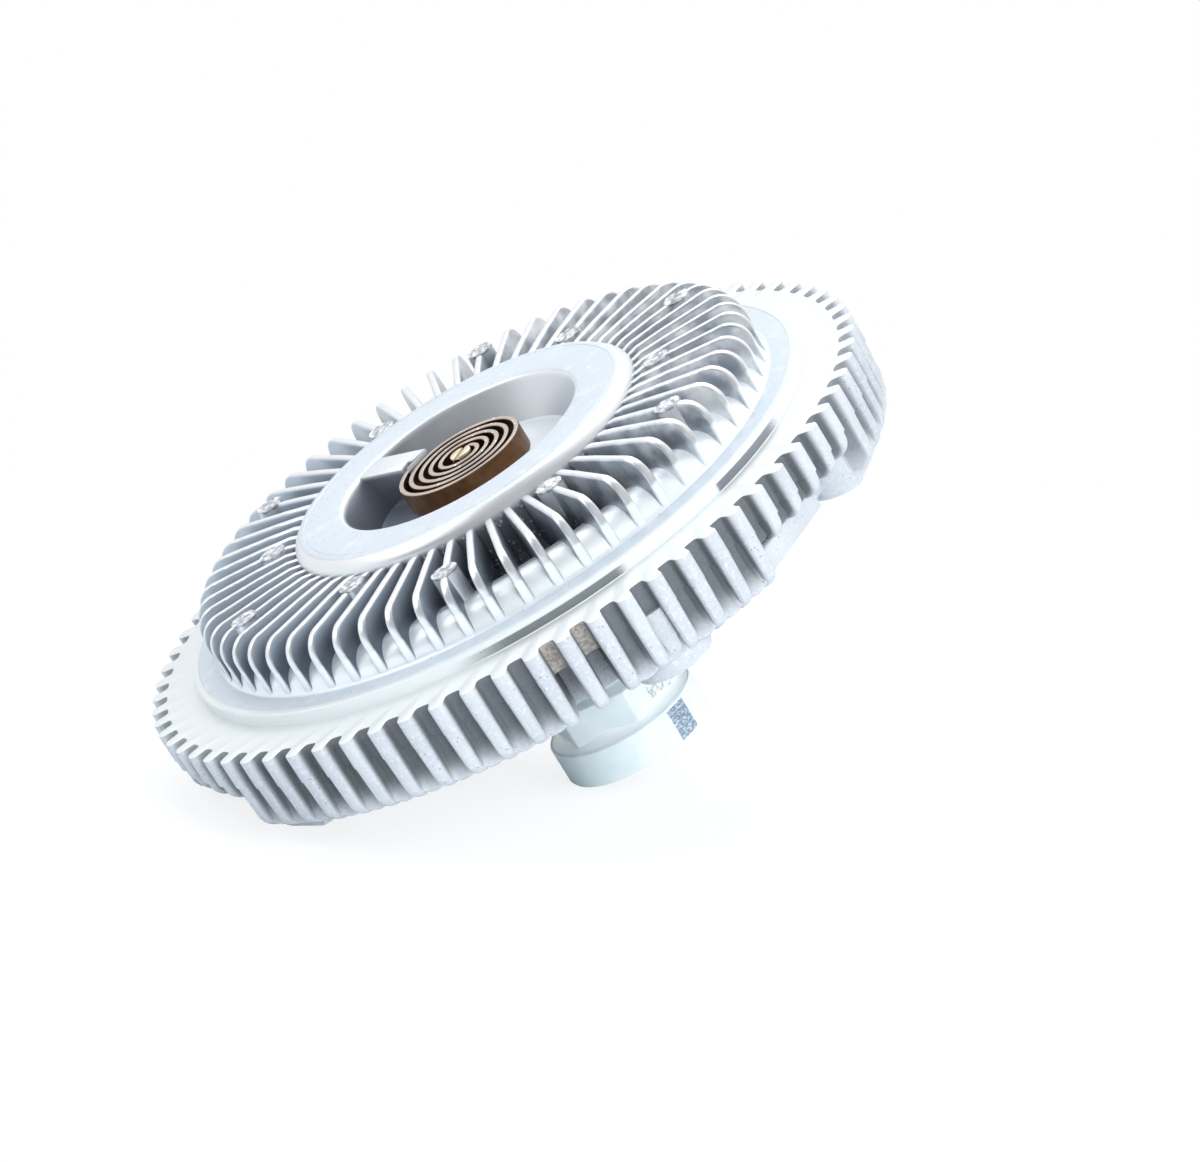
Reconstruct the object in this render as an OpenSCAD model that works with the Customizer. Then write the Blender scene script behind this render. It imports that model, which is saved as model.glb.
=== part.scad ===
// Viscous fan clutch: a finned housing and cover that turn on the shaft of a driven hub nut.
// The origin is the centre of the nut's end face, and +Z runs along the axis to the coil.

/* [Hub nut] */
// Diameter of the round collar at the end of the nut
collar_d = 41; // [39:0.5:46]
// Length of the collar
collar_l = 10.3; // [8:0.1:12]
// Hexagon size across flats
hex_af = 32; // [30:0.5:34]
// Length of the hexagon
hex_l = 10.2; // [8:0.1:12]
// Angle of one hexagon corner
hex_turn = 39.8; // [0:0.1:60]
// Nominal diameter of the drive thread
thread_d = 22; // [18:1:24]
// Pitch of the drive thread
thread_pitch = 1.5; // [1:0.5:2]
// Depth of the threaded hole
thread_depth = 17; // [12:0.5:18]
// Diameter of the neck in front of the hexagon
neck_d = 20; // [19:0.5:21]

/* [Ball bearing] */
// Bore of the bearing
bearing_id = 17; // [16:0.5:17.5]
// Outer diameter of the bearing
bearing_od = 40; // [39:0.5:42]
// Width of the bearing
bearing_w = 12; // [12:0.5:13]
// Height of the bearing's rear face
bearing_z = 37; // [36.5:0.1:37.5]
// Diameter of one ball
ball_d = 6.6; // [6:0.1:6.8]
// Number of balls
ball_count = 8; // [6:1:8]

/* [Rear housing] */
// Height of the machined front face of the rim
rim_z = 72; // [71.5:0.1:72.5]
// Diameter over the rim's teeth
tooth_tip_d = 205; // [202:0.5:208]
// Depth of the grooves between the teeth
groove_depth = 4.5; // [3.5:0.1:5.5]
// Thickness of the rim
rim_t = 8.2; // [7:0.1:11]
// Number of rim teeth, each with one rear fin
tooth_count = 72; // [60:6:72]
// Angle of the first groove
groove_turn = 1.5; // [0:0.1:5]
// Width of a groove at its bottom
groove_root_w = 3.5; // [2:0.1:3.8]
// Width of a tooth at its tip
tooth_tip_w = 4.3; // [3.2:0.1:4.6]
// Thickness of a rear fin
rear_fin_t = 4.4; // [3:0.1:4.6]
// Height of the rear ends of the fins
rear_fin_z = 49.7; // [47.5:0.1:50]
// Distance inside the tooth tips of the skirt that closes the rear ends of the grooves
skirt_inset = 2.8; // [2.4:0.1:3.4]
// Thickness of the skirt
skirt_t = 2.8; // [2:0.1:3.2]
// Angle of the fin in the middle of the open grooves
open_turn = 29; // [24:5:34]
// Width of the rim outside the wall round the fluid chamber
rim_overhang = 14.5; // [13.5:0.1:15]
// Thickness of the wall round the fluid chamber
wall_t = 4; // [3.5:0.1:4.5]
// Thickness of the lip round the cover
lip_t = 1.8; // [1.5:0.1:2]
// Height of the rear face of the back wall
back_z = 50; // [49.8:0.1:51]
// Diameter of the bearing boss
boss_d = 54; // [52:0.5:58]
// Height of the rear end of the bearing boss
boss_z = 33.5; // [32:0.1:34]
// Distance from the low ribs' outer ends to the outside of the chamber's wall
rib_gap = 14; // [10:0.5:18]
// Number of ribs on the back wall
rib_count = 24; // [12:6:36]

/* [Fan lugs] */
// Diameter of one fan lug
lug_d = 21; // [19:0.5:23]
// Distance of the fan bolts inside the tooth tips
fan_bolt_inset = 13.5; // [12.5:0.1:14.5]
// Height of the lugs' seat faces
lug_z = 46.6; // [46:0.1:47.5]
// Nominal diameter of the fan bolts
fan_bolt_d = 8; // [6:1:8]
// Depth of the bolt holes
fan_bolt_depth = 13; // [10:0.5:14]
// Angle of the first threaded lug
lug_turn = 92; // [80:0.5:95]
// Angle from a threaded lug to the plain lug before it
plain_lug_step = 50; // [40:0.5:55]
// Distance of the flat faces of the pads and threaded lugs inside the tooth tips
pad_inset = 7.6; // [6.5:0.1:10]
// Height of the rear edge of the flat pad
pad_z = 52.4; // [50.5:0.1:53]
// Angle that the flat pad faces, before the threaded lug
pad_step = 13; // [6:0.5:16]

/* [Front cover] */
// Height of the flat ledge round the cover
ledge_z = 75.8; // [75.5:0.1:76.2]
// Width of the ledge, outside the fins
ledge_w = 5.8; // [5:0.1:7]
// Number of cover fins
cover_fin_count = 60; // [48:12:60]
// Angle of the first cover fin
cover_fin_turn = 3.2; // [0:0.1:6]
// Thickness of a cover fin
cover_fin_t = 2.2; // [1.6:0.1:2.6]
// Height of the fins' top edges
cover_fin_z = 90.3; // [89:0.1:91]
// Height of the machined ring round the coil
ring_z = 92.8; // [92:0.1:94]
// Outer diameter of the ring's flat face
ring_d = 93.2; // [92:0.2:95]
// Diameter of the coil pocket at its mouth
pocket_d = 66.8; // [64:0.2:68]
// Height of the pocket's floor
pocket_z = 82; // [81.5:0.1:82.5]
// Diameter of an ejector post
post_d = 7.4; // [6.5:0.1:8]
// Height of the posts' rough tops
post_z = 90.7; // [90.4:0.1:91.5]
// Distance of the outer posts inside the fins' outer edges
outer_post_inset = 10.2; // [8:0.1:12]
// Distance of the inner posts outside the ring's flat face
inner_post_gap = 9.4; // [8.5:0.1:11]

/* [Coil and valve] */
// Outer diameter of the coil
coil_d = 36.4; // [35.5:0.1:36.8]
// Distance from one turn to the next
coil_pitch = 2.85; // [2.7:0.05:2.9]
// Number of turns
coil_turns = 4.7; // [4.5:0.1:4.7]
// Thickness of the bimetal strip
strip_t = 1.35; // [1.1:0.05:1.4]
// Width of the bimetal strip
strip_w = 6.6; // [6:0.1:6.8]
// Height of the coil's front edge
coil_z = 91.2; // [91:0.1:91.8]
// Angle of the lug that holds the coil's outer end
coil_lug_turn = 131; // [125:0.5:140]
// Diameter of the valve shaft
valve_d = 6; // [5.5:0.1:6.2]
// Angle of the plate's port and of the arm that shuts it
port_turn = 250; // [240:1:260]

/* [Fits] */
// Radial clearance of the valve shaft in the cover
shaft_clearance = 0.04; // [0.02:0.01:0.08]
// Radial clearance of the balls in their races and pockets
ball_clearance = 0.12; // [0.1:0.01:0.2]
// Gap between the meshing lands
land_gap = 0.6; // [0.5:0.05:0.8]
// Radial clearance of the cover's rim in the housing's lip
rim_clearance = 0.2; // [0.1:0.05:0.3]
// Clearance of the coil's ends in their slots
slot_clearance = 0.3; // [0.2:0.05:0.35]

/* [Hidden] */
$fn = 96;
// How far one solid runs into the next
bite = 2;
// How far a cut runs past a face
past = 1;
// Small gap that keeps two fitted pieces apart
fit_gap = 0.1;

// Hub
hex_z = collar_l;
thread_bore_r = (thread_d - 1.0825 * thread_pitch) / 2;
hub_chamfer = 0.8;
shoulder_r = 11.6;
shoulder_l = 3;
rotor_seat_r = 7.5;
bearing_front_z = bearing_z + bearing_w;
rotor_hub_z = 65;
stake_r = 8.6;
stake_l = 1.5;
thread_lead_in = 0.6;
drill_point = 31;

// Bearing
pitch_r = (bearing_id + bearing_od) / 4;
race_groove_r = ball_d / 2 + ball_clearance;
inner_land_r = 12.2;
outer_land_r = 16.4;
ball_z = bearing_z + bearing_w / 2;
cage_in_r = 13.3;
cage_out_r = 15.2;
cage_l = 2 * race_groove_r + 1.5;
shield_t = 0.6;
shield_inset = 0.4;
shield_in_r = inner_land_r + shield_inset;
shield_out_r = 17.5;
snap_t = 1.3;
snap_in_r = 17.8;
snap_out_r = bearing_od / 2 + 1.4;
snap_gap = 24;

// Housing
tooth_tip_r = tooth_tip_d / 2;
groove_root_r = tooth_tip_r - groove_depth;
rim_rear_z = rim_z - rim_t;
back_t = 5;
floor_z = back_z + back_t;
seat_z = 70;
wall_r = tooth_tip_r - rim_overhang;
chamber_r = wall_r - wall_t;
lip_out_r = wall_r;
lip_r = lip_out_r - lip_t;
fin_corner_r = 4.5;
fin_setback = 0.2;
skirt_r = tooth_tip_r - skirt_inset;
skirt_round = 1;
skirt_step = 1.1;
groove_floor_drop = 0.5;
groove_floor_r = groove_root_r - groove_floor_drop;
run_out_h = 8;
run_out_rise = skirt_r - groove_floor_r;
run_out_l = run_out_h - skirt_round;
run_out_r = (run_out_rise * run_out_rise + run_out_l * run_out_l) / (2 * run_out_rise);
tooth_step = 360 / tooth_count;
boss_draft = 1;
bearing_stop_r = 17;
rib_t = 3;
rib_z = 46;
rib_r = wall_r - rib_gap;
lug_count = 3;
lug_step = 360 / lug_count;
fan_bolt_r = tooth_tip_r - fan_bolt_inset;
fan_bolt_pitch = 1.25;
pad_turns = [for (k = [0 : lug_count - 1]) lug_turn - pad_step + lug_step * k];
pad_r = tooth_tip_r - pad_inset;
pad_sweep = 19;
pad_t = 6.2;
pad_gap = 4;
pad_lap = 0.6;
pad_fin_z = pad_z + pad_t - pad_lap;
pad_end_teeth = 2;

// Cover
cover_r = lip_r - rim_clearance;
cover_fin_r = cover_r - ledge_w;
ring_r = ring_d / 2;
ring_wall = 3;
ring_wall_r = ring_r + ring_wall;
ring_draft = 0.6;
ring_edge_h = 2.4;
pocket_r = pocket_d / 2;
pocket_taper = 5;
pocket_edge_r = 1.6;
trough_z = 77;
trough_fillet = 1.5;
ridge_z = 82.4;
ridge_round = 6.5;
ridge_inset = 6.7;
ridge_r = cover_fin_r - ridge_inset;
trough_out_r = (ring_wall_r + ridge_r) / 2;
reservoir_inset = 4.6;
reservoir_w = 4.5;
reservoir_r = ring_r - reservoir_inset;
reservoir_core_r = reservoir_r - reservoir_w;
reservoir_core_z = 87.5;
reservoir_z = 78.5;
plate_lap = 4;
plate_r = reservoir_r + plate_lap;
plate_t = 1;
plate_z = seat_z;
rivet_count = 4;
rivet_r = 1;
rivet_l = 4.5;
rivet_head_r = 1.9;
rivet_head_t = 1;
rivet_at_r = (reservoir_r + plate_r) / 2;
post_count = 6;
post_step = 360 / post_count;
cover_boss_r = 8;
cover_boss_h = 2;
cover_boss_top = pocket_z + cover_boss_h;
cover_boss_bottom = 75;
shaft_bore_r = valve_d / 2 + shaft_clearance;
cover_fin_step = 360 / cover_fin_count;
cover_fin_corner_r = 6;
cover_fin_fall = 0.5;
seal_z = 73;
seal_inset = 0.8;
seal_r = cover_r - seal_inset;
seal_tube_r = 0.95;
seal_groove_h = 2.2;
shaft_seal_z = 79.5;
shaft_seal_tube_r = 0.9;
shaft_seal_gap = 0.12;
shaft_seal_r = valve_d / 2 + shaft_seal_gap + shaft_seal_tube_r;
return_turn = 100;
return_inset = 4.5;
return_r = 1.5;
return_z = 73.5;

// Lands: those of the cover hang between those of the rotor
land_count = 5;
land_end_gap = 0.9;
rotor_gap = 3.4;
rotor_r = chamber_r - rotor_gap;
rotor_edge = 0.4;
rotor_boss_r = 14;
rotor_boss_h = 2.4;
first_land_gap = 6;
first_land_r = plate_r + first_land_gap;
land_pitch = (rotor_r - rotor_edge - first_land_r + land_gap / 2) / (land_count - 0.25);
land_t = land_pitch / 2 - land_gap;
rotor_floor_z = 57;
rotor_web_z = 62;
cover_land_z = rotor_web_z + land_end_gap;
rotor_land_z = seat_z - land_end_gap;
rotor_hole_r = 5;
rotor_hole_count = 6;
rotor_hole_at_r = (rotor_boss_r + first_land_r) / 2;
wiper_turn = return_turn - 8;
wiper_sweep = 6;
wiper_inner_gap = 0.4;
wiper_outer_gap = 0.2;
wiper_lift = 1;

// Coil and valve
coil_r = coil_d / 2 - strip_t / 2;
coil_rear_z = coil_z - strip_w;
coil_start = 160;
coil_end = coil_start + 360 * coil_turns;
coil_tail = 23;
coil_lug_w = 9;
coil_lug_r = 15.95;
coil_lug_drop = 0.3;
coil_slot_lead = 4;
coil_slot_sweep = 24;
valve_r = valve_d / 2;
valve_end_gap = 0.3;
valve_tip_h = 0.5;
valve_z = plate_z + plate_t + valve_end_gap;
valve_tip_z = coil_z + valve_tip_h;
arm_t = 1.2;
arm_w = 10;
arm_hub_r = 6;
port_at_r = 0.8 * reservoir_core_r;
port_r = 3;
clip_r = 5.2;
clip_t = 0.7;

// Points of a circular arc in the plane
function arc(x, y, r, from, to, steps = 8) =
    [for (i = [0 : steps]) let (a = from + (to - from) * i / steps) [x + r * cos(a), y + r * sin(a)]];

// Radius of the coil's middle line at an angle measured on from its outer end
function coil_radius(a) = coil_r - max(0, a - coil_start) / 360 * coil_pitch;

module ring(r_in, r_out, z0, z1) {
    translate([0, 0, z0]) difference() {
        cylinder(r = r_out, h = z1 - z0);
        translate([0, 0, -past]) cylinder(r = r_in, h = z1 - z0 + 2 * past);
    }
}

// A flat blade whose outline is given as radius and height
module blade(outline, thickness) {
    translate([0, thickness / 2, 0])
        rotate([90, 0, 0])
            linear_extrude(height = thickness)
                polygon(outline);
}

module torus(ring_radius, tube_r, z) {
    translate([0, 0, z])
        rotate_extrude()
            translate([ring_radius, 0])
                circle(r = tube_r, $fn = 32);
}

module rear_fin(rear_z) {
    tip_r = tooth_tip_r - fin_setback;
    root_r = wall_r - bite;
    blade(concat(
        [[root_r, rim_rear_z + bite], [root_r, max(rear_z, back_z) + past], [wall_r + past, rear_z]],
        arc(tip_r - fin_corner_r, rear_z + fin_corner_r, fin_corner_r, -90, 0),
        [[tip_r, rim_rear_z + bite]]
    ), rear_fin_t);
}

// Wall at the bottom of the grooves, which curves outwards to close their rear ends
module skirt(fin_z, core_r, from, to) {
    rear_z = fin_z + skirt_step;
    top_z = max(rim_rear_z + bite, rear_z + run_out_h + past);
    rotate([0, 0, from])
        rotate_extrude(angle = to - from)
            polygon(concat(
                [[core_r, top_z], [groove_floor_r, top_z]],
                arc(groove_floor_r + run_out_r, rear_z + run_out_h, run_out_r,
                    180, 180 + asin(run_out_l / run_out_r), 4),
                arc(skirt_r - skirt_round, rear_z + skirt_round, skirt_round, -15, -90, 3),
                [[core_r + run_out_rise, rear_z], [core_r, rear_z + run_out_h]]
            ));
}

module rim_groove() {
    tip_r = tooth_tip_r + past;
    tip_half = (tip_r * PI * 2 / tooth_count - tooth_tip_w) / 2;
    translate([0, 0, rim_rear_z - past])
        linear_extrude(height = rim_t + 2 * past)
            polygon([
                [groove_root_r, -groove_root_w / 2], [groove_root_r, groove_root_w / 2],
                [tip_r, tip_half], [tip_r, -tip_half]
            ]);
}

module housing_body() {
    rotate_extrude()
        polygon([
            [boss_d / 2, boss_z], [boss_d / 2 + boss_draft, back_z],
            [wall_r, back_z], [wall_r, rim_rear_z], [tooth_tip_r, rim_rear_z],
            [tooth_tip_r, rim_z], [lip_out_r, rim_z], [lip_out_r, ledge_z],
            [lip_r, ledge_z], [lip_r, seat_z], [chamber_r, seat_z], [chamber_r, floor_z],
            [bearing_stop_r, floor_z], [bearing_stop_r, bearing_front_z],
            [bearing_od / 2, bearing_front_z], [bearing_od / 2, boss_z]
        ]);
}

// Angles of the whole fins before and after the short ones over a pad
function pad_start(k) = pad_turns[k] - ceil(pad_sweep / tooth_step) * tooth_step;
function pad_end(k) = pad_turns[k] + pad_end_teeth * tooth_step;

// Whether an angle lies between two others, and not on them
function in_sweep(a, from, to) =
    let (on = (a - from + 720) % 360) on > fit_gap && on < to - from - fit_gap;

// Flat-faced shelf behind the shortened fins beside a threaded lug
module fan_pad(turn) {
    inner_r = wall_r - bite;
    rotate([0, 0, turn])
        translate([0, 0, pad_z])
            linear_extrude(height = pad_t)
                polygon([
                    [inner_r, 0], [inner_r * cos(pad_sweep), -inner_r * sin(pad_sweep)],
                    [pad_r, -pad_r * tan(pad_sweep)], [pad_r, -pad_gap]
                ]);
}

// Round lug, cut off flat at a distance from the axis
module fan_lug(turn, face_r) {
    lug_h = rim_rear_z - lug_z + bite;
    rotate([0, 0, turn])
        translate([0, 0, lug_z])
            difference() {
                translate([fan_bolt_r, 0, 0]) cylinder(d = lug_d, h = lug_h);
                translate([face_r, -lug_d, -past]) cube([lug_d, 2 * lug_d, lug_h + 2 * past]);
            }
}

module rear_housing() {
    tap_r = (fan_bolt_d - fan_bolt_pitch) / 2;
    on_pad = function (a)
        len([for (k = [0 : lug_count - 1]) if (in_sweep(a, pad_start(k), pad_end(k))) k]) > 0;
    color("#c9ccd0") difference() {
        union() {
            difference() {
                housing_body();
                for (i = [0 : tooth_count - 1])
                    rotate([0, 0, groove_turn + i * tooth_step]) rim_groove();
            }
            for (i = [0 : tooth_count - 1])
                let (a = groove_turn + (i + 0.5) * tooth_step)
                    rotate([0, 0, a]) rear_fin(on_pad(a) ? pad_fin_z : rear_fin_z);
            for (i = [0 : rib_count - 1])
                rotate([0, 0, i * 360 / rib_count])
                    translate([boss_d / 2 - bite, -rib_t / 2, rib_z])
                        cube([rib_r - boss_d / 2 + bite, rib_t, back_z - rib_z + bite]);
            for (k = [0 : lug_count - 1])
                let (open_at = open_turn + lug_step * (k + 1), core_r = groove_floor_r - skirt_t) {
                    fan_pad(pad_turns[k]);
                    skirt(pad_fin_z, wall_r - bite, pad_start(k), pad_end(k));
                    skirt(rear_fin_z, core_r, pad_end(k), open_at - tooth_step);
                    skirt(rear_fin_z, core_r, open_at + tooth_step, pad_start(k) + lug_step);
                }
            difference() {
                for (k = [0 : lug_count - 1]) {
                    fan_lug(lug_turn + lug_step * k, pad_r);
                    fan_lug(lug_turn - plain_lug_step + lug_step * k, skirt_r);
                }
                translate([0, 0, floor_z - back_t / 2]) cylinder(r = wall_r - wall_t / 2, h = rim_z - floor_z);
            }
        }
        for (k = [0 : lug_count - 1])
            rotate([0, 0, lug_turn + lug_step * k])
                translate([fan_bolt_r, 0, lug_z - past])
                    cylinder(r = tap_r, h = fan_bolt_depth + past);
        ring(bearing_od / 2 - past, snap_out_r, bearing_z - snap_t, bearing_z);
    }
}

module cover_body() {
    rotate_extrude()
        polygon(concat(
            [[shaft_bore_r, cover_boss_top], [cover_boss_r, cover_boss_top],
             [cover_boss_r + ring_draft, pocket_z], [pocket_r - pocket_taper, pocket_z]],
            arc(pocket_r + pocket_edge_r, ring_z - pocket_edge_r, pocket_edge_r, 160, 90, 5),
            [[ring_r, ring_z], [ring_r + ring_draft, ring_z - ring_draft],
             [ring_wall_r - ring_draft, ring_z - ring_edge_h],
             [ring_wall_r + ring_draft, trough_z + trough_fillet], [ring_wall_r + 2 * ring_draft, trough_z],
             [trough_out_r, trough_z], [ridge_r - ridge_round, ridge_z - trough_fillet]],
            arc(ridge_r, ridge_z - ridge_round, ridge_round, 110, 10, 10),
            [[cover_fin_r, ledge_z], [cover_r, ledge_z], [cover_r, seat_z],
             [plate_r, seat_z], [plate_r, seat_z + plate_t], [reservoir_r, seat_z + plate_t],
             [reservoir_r, reservoir_core_z], [reservoir_core_r, reservoir_core_z],
             [reservoir_core_r - pocket_taper, reservoir_z], [cover_boss_r, reservoir_z],
             [cover_boss_r, cover_boss_bottom], [shaft_bore_r, cover_boss_bottom]]
        ));
}

module cover_fin() {
    corner = cover_fin_corner_r;
    blade(concat(
        [[ring_wall_r - bite, trough_z - bite], [cover_fin_r, ledge_z - bite]],
        arc(cover_fin_r - corner, cover_fin_z - corner, corner, 0, 90),
        [[ring_wall_r - bite, cover_fin_z - cover_fin_fall]]
    ), cover_fin_t);
}

module post(turn, at_r) {
    rotate([0, 0, turn])
        translate([at_r, 0, trough_z - bite])
            cylinder(d = post_d, h = post_z - trough_z + bite);
}

module coil_lug() {
    rotate([0, 0, coil_lug_turn])
        translate([coil_lug_r, -coil_lug_w / 2, pocket_z - bite])
            cube([pocket_r + bite - coil_lug_r, coil_lug_w, ring_z - coil_lug_drop - pocket_z + bite]);
}

// Slot in the lug that the coil's outer end lies in
module coil_slot() {
    half = strip_t / 2 + slot_clearance;
    rotate([0, 0, coil_start - coil_tail - coil_slot_lead])
        translate([0, 0, coil_rear_z - slot_clearance])
            rotate_extrude(angle = coil_slot_sweep)
                translate([coil_r - half, 0])
                    square([2 * half, ring_z]);
}

module front_cover() {
    color("#d3d7dc") difference() {
        union() {
            cover_body();
            for (i = [0 : cover_fin_count - 1])
                rotate([0, 0, cover_fin_turn + i * cover_fin_step]) cover_fin();
            for (k = [0 : post_count - 1]) {
                post(cover_fin_turn + 2 * cover_fin_step + post_step * k, cover_fin_r - outer_post_inset);
                post(cover_fin_turn + 7 * cover_fin_step + post_step * k, ring_r + inner_post_gap);
            }
            for (i = [0 : land_count - 1])
                ring(first_land_r + i * land_pitch - land_t / 2, first_land_r + i * land_pitch + land_t / 2,
                    cover_land_z, seat_z + bite);
            coil_lug();
        }
        coil_slot();
        ring(seal_r - seal_tube_r - fit_gap, cover_r + past,
            seal_z - seal_groove_h / 2, seal_z + seal_groove_h / 2);
        ring(shaft_bore_r - fit_gap, shaft_seal_r + shaft_seal_tube_r + fit_gap,
            shaft_seal_z - shaft_seal_tube_r - fit_gap, shaft_seal_z + shaft_seal_tube_r + fit_gap);
        rotate([0, 0, return_turn]) {
            translate([cover_r - return_inset, 0, seat_z - past])
                cylinder(r = return_r, h = return_z - seat_z + past);
            translate([reservoir_r - bite, 0, return_z])
                rotate([0, 90, 0])
                    cylinder(r = return_r, h = cover_r - return_inset + return_r - reservoir_r + bite);
        }
        at_rivets() translate([0, 0, seat_z]) cylinder(r = rivet_r, h = rivet_l + bite);
    }
}

module cover_seal() {
    color("#2b2b2d") torus(seal_r, seal_tube_r - fit_gap, seal_z);
}

module drive_hub() {
    hex_r = hex_af / 2 / cos(30);
    shoulder_z = bearing_z - shoulder_l;
    lead_in_r = thread_d / 2 + thread_lead_in;
    color("#c4d0cf") difference() {
        union() {
            rotate_extrude()
                polygon([
                    [0, 0], [collar_d / 2 - hub_chamfer, 0], [collar_d / 2, hub_chamfer],
                    [collar_d / 2, hex_z - hub_chamfer / 2], [collar_d / 2 - hub_chamfer / 2, hex_z],
                    [neck_d / 2, hex_z], [neck_d / 2, shoulder_z - bite], [shoulder_r, shoulder_z],
                    [shoulder_r, bearing_z], [bearing_id / 2, bearing_z], [bearing_id / 2, bearing_front_z],
                    [rotor_seat_r, bearing_front_z], [rotor_seat_r, rotor_hub_z],
                    [stake_r, rotor_hub_z], [stake_r - hub_chamfer, rotor_hub_z + stake_l],
                    [0, rotor_hub_z + stake_l]
                ]);
            rotate([0, 0, hex_turn])
                translate([0, 0, hex_z - past])
                    cylinder(r = hex_r, h = hex_l + past, $fn = 6);
        }
        rotate_extrude()
            polygon([
                [0, -past], [lead_in_r, -past], [lead_in_r, 0], [thread_bore_r, lead_in_r - thread_bore_r],
                [thread_bore_r, thread_depth], [0, thread_depth + thread_bore_r * tan(drill_point)]
            ]);
    }
}

module rotor_disc() {
    color("#aeb2b6") difference() {
        union() {
            rotate_extrude()
                polygon([
                    [rotor_seat_r, bearing_front_z], [shoulder_r, bearing_front_z],
                    [rotor_boss_r, bearing_front_z + rotor_boss_h], [rotor_boss_r, rotor_floor_z],
                    [rotor_r, rotor_floor_z], [rotor_r, rotor_web_z], [rotor_boss_r, rotor_web_z],
                    [rotor_boss_r, rotor_hub_z], [rotor_seat_r, rotor_hub_z]
                ]);
            for (i = [0 : land_count - 1])
                let (r = first_land_r + (i + 0.5) * land_pitch)
                    ring(r - land_t / 2, r + land_t / 2, rotor_web_z - bite, rotor_land_z);
        }
        for (k = [0 : rotor_hole_count - 1])
            rotate([0, 0, k * 360 / rotor_hole_count])
                translate([rotor_hole_at_r, 0, rotor_floor_z - past])
                    cylinder(r = rotor_hole_r, h = rotor_web_z - rotor_floor_z + 2 * past);
    }
}

module race_groove() {
    torus(pitch_r, race_groove_r, ball_z);
}

module bearing_inner_race() {
    color("#b8bcc0") difference() {
        ring(bearing_id / 2, inner_land_r, bearing_z, bearing_front_z);
        race_groove();
    }
}

module bearing_outer_race() {
    shield_depth = shield_t + shield_inset;
    color("#b8bcc0") difference() {
        ring(outer_land_r, bearing_od / 2, bearing_z, bearing_front_z);
        race_groove();
        ring(outer_land_r - past, shield_out_r, bearing_z - past, bearing_z + shield_depth);
        ring(outer_land_r - past, shield_out_r, bearing_front_z - shield_depth, bearing_front_z + past);
    }
}

module at_balls() {
    for (i = [0 : ball_count - 1])
        rotate([0, 0, i * 360 / ball_count])
            translate([pitch_r, 0, ball_z])
                children();
}

module bearing_balls() {
    color("#dfe2e5") at_balls() sphere(d = ball_d, $fn = 48);
}

module bearing_cage() {
    color("#c2a15a") difference() {
        ring(cage_in_r, cage_out_r, ball_z - cage_l / 2, ball_z + cage_l / 2);
        at_balls() sphere(r = race_groove_r, $fn = 48);
    }
}

module bearing_shield(z) {
    color("#9a9ea3") ring(shield_in_r, shield_out_r, z, z + shield_t);
}

module bearing_shield_front() {
    bearing_shield(bearing_front_z - shield_inset - shield_t);
}

module bearing_shield_rear() {
    bearing_shield(bearing_z + shield_inset);
}

module bearing_snap_ring() {
    color("#5c6066")
        rotate([0, 0, snap_gap / 2])
            rotate_extrude(angle = 360 - snap_gap)
                translate([snap_in_r, bearing_z - snap_t])
                    square([snap_out_r - snap_in_r - fit_gap, snap_t]);
}

module at_rivets() {
    for (k = [0 : rivet_count - 1])
        rotate([0, 0, (k + 0.5) * 360 / rivet_count])
            translate([rivet_at_r, 0, 0])
                children();
}

module reservoir_plate() {
    hole_l = plate_t + 2 * past;
    color("#c8b070") difference() {
        translate([0, 0, plate_z]) cylinder(r = plate_r - fit_gap, h = plate_t);
        rotate([0, 0, port_turn])
            translate([port_at_r, 0, plate_z - past]) cylinder(r = port_r, h = hole_l);
        at_rivets() translate([0, 0, plate_z - past]) cylinder(r = rivet_r, h = hole_l);
    }
}

module plate_rivets() {
    color("#b0b4b8") at_rivets() {
        translate([0, 0, plate_z]) cylinder(r = rivet_r, h = rivet_l);
        translate([0, 0, plate_z - rivet_head_t]) cylinder(r = rivet_head_r, h = rivet_head_t);
    }
}

module wiper() {
    inner_r = rotor_r + wiper_inner_gap;
    outer_r = chamber_r - wiper_outer_gap;
    bottom_z = rotor_floor_z + wiper_lift;
    color("#8d8472")
        rotate([0, 0, wiper_turn])
            rotate_extrude(angle = wiper_sweep)
                translate([inner_r, bottom_z])
                    square([outer_r - inner_r, seat_z - bottom_z]);
}

module valve_shaft() {
    slot_w = strip_t + 2 * slot_clearance;
    color("#d8cf9a") difference() {
        translate([0, 0, valve_z]) cylinder(r = valve_r, h = valve_tip_z - valve_z);
        rotate([0, 0, coil_end])
            translate([-valve_d, -slot_w / 2, coil_rear_z - slot_clearance])
                cube([2 * valve_d, slot_w, strip_w + bite]);
    }
}

module valve_arm() {
    color("#b9b08c") difference() {
        union() {
            translate([0, 0, valve_z]) cylinder(r = arm_hub_r, h = arm_t);
            rotate([0, 0, port_turn])
                translate([0, -arm_w / 2, valve_z]) cube([port_at_r, arm_w, arm_t]);
            rotate([0, 0, port_turn]) translate([port_at_r, 0, valve_z]) cylinder(d = arm_w, h = arm_t);
        }
        translate([0, 0, valve_z - past]) cylinder(r = valve_r, h = arm_t + 2 * past);
    }
}

module shaft_seal() {
    color("#2b2b2d") torus(shaft_seal_r, shaft_seal_tube_r, shaft_seal_z);
}

module shaft_clip() {
    top_z = cover_boss_bottom - valve_end_gap;
    color("#6b6f75") ring(valve_r, clip_r, top_z - clip_t, top_z);
}

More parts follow.
